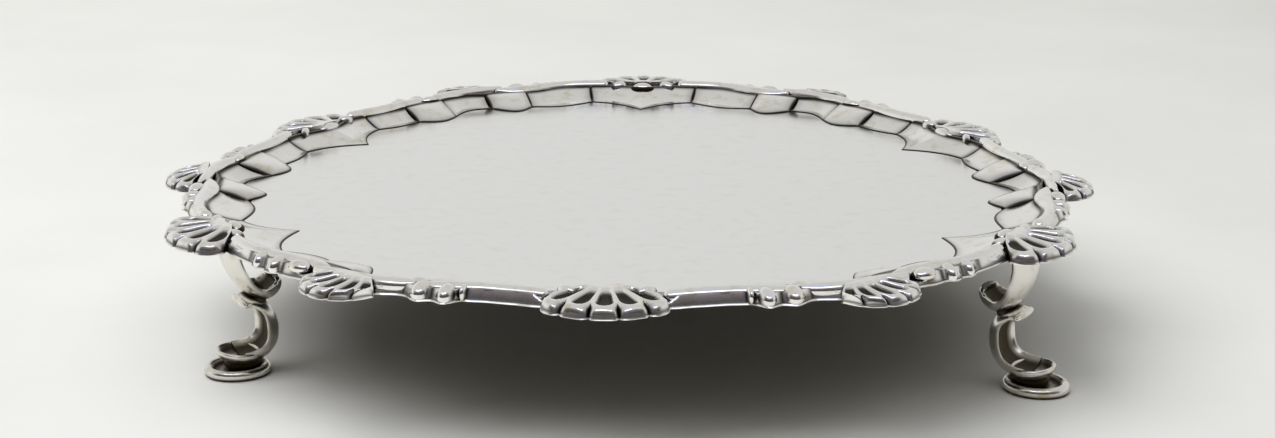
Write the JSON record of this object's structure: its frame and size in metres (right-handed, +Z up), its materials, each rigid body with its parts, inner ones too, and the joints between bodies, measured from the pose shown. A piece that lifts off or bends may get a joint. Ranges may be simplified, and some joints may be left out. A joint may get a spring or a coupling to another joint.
{
  "type": "footed salver",
  "caption": "Round silver salver: a flat field sunk inside a scrolled, shell-set border, standing on scroll feet with oval pads.",
  "frame": {"origin": "centre of the outline at table level, under the tray", "axes": "+Z up from the table through the field; -Y towards the plain shell that stands between two feet; the third foot is towards +Y"},
  "size_m": [0.216, 0.213, 0.0344],
  "materials": {
    "sheet_silver": "hand-polished sterling silver sheet, with fine hairline scratches and a faint hammered undulation",
    "border_silver": "polished cast silver, darkened in the creases of the wall",
    "shell_silver": "polished cast silver, darkened in the flutes and notches",
    "foot_silver": "polished cast silver with brown-black tarnish in the hollows"
  },
  "bodies": {
    "root": {"field_plate": "sheet_silver", "border_length_1": "border_silver", "border_length_2": "border_silver", "border_length_3": "border_silver", "border_length_4": "border_silver", "border_length_5": "border_silver", "border_length_6": "border_silver", "plain_shell_1": "shell_silver", "plain_shell_2": "shell_silver", "plain_shell_3": "shell_silver", "foot_shell_1": "shell_silver", "foot_shell_2": "shell_silver", "foot_shell_3": "shell_silver", "small_shell_1": "shell_silver", "small_shell_2": "shell_silver", "small_shell_3": "shell_silver", "small_shell_4": "shell_silver", "small_shell_5": "shell_silver", "small_shell_6": "shell_silver", "foot_1": "foot_silver", "foot_2": "foot_silver", "foot_3": "foot_silver"}
  },
  "joints": []
}
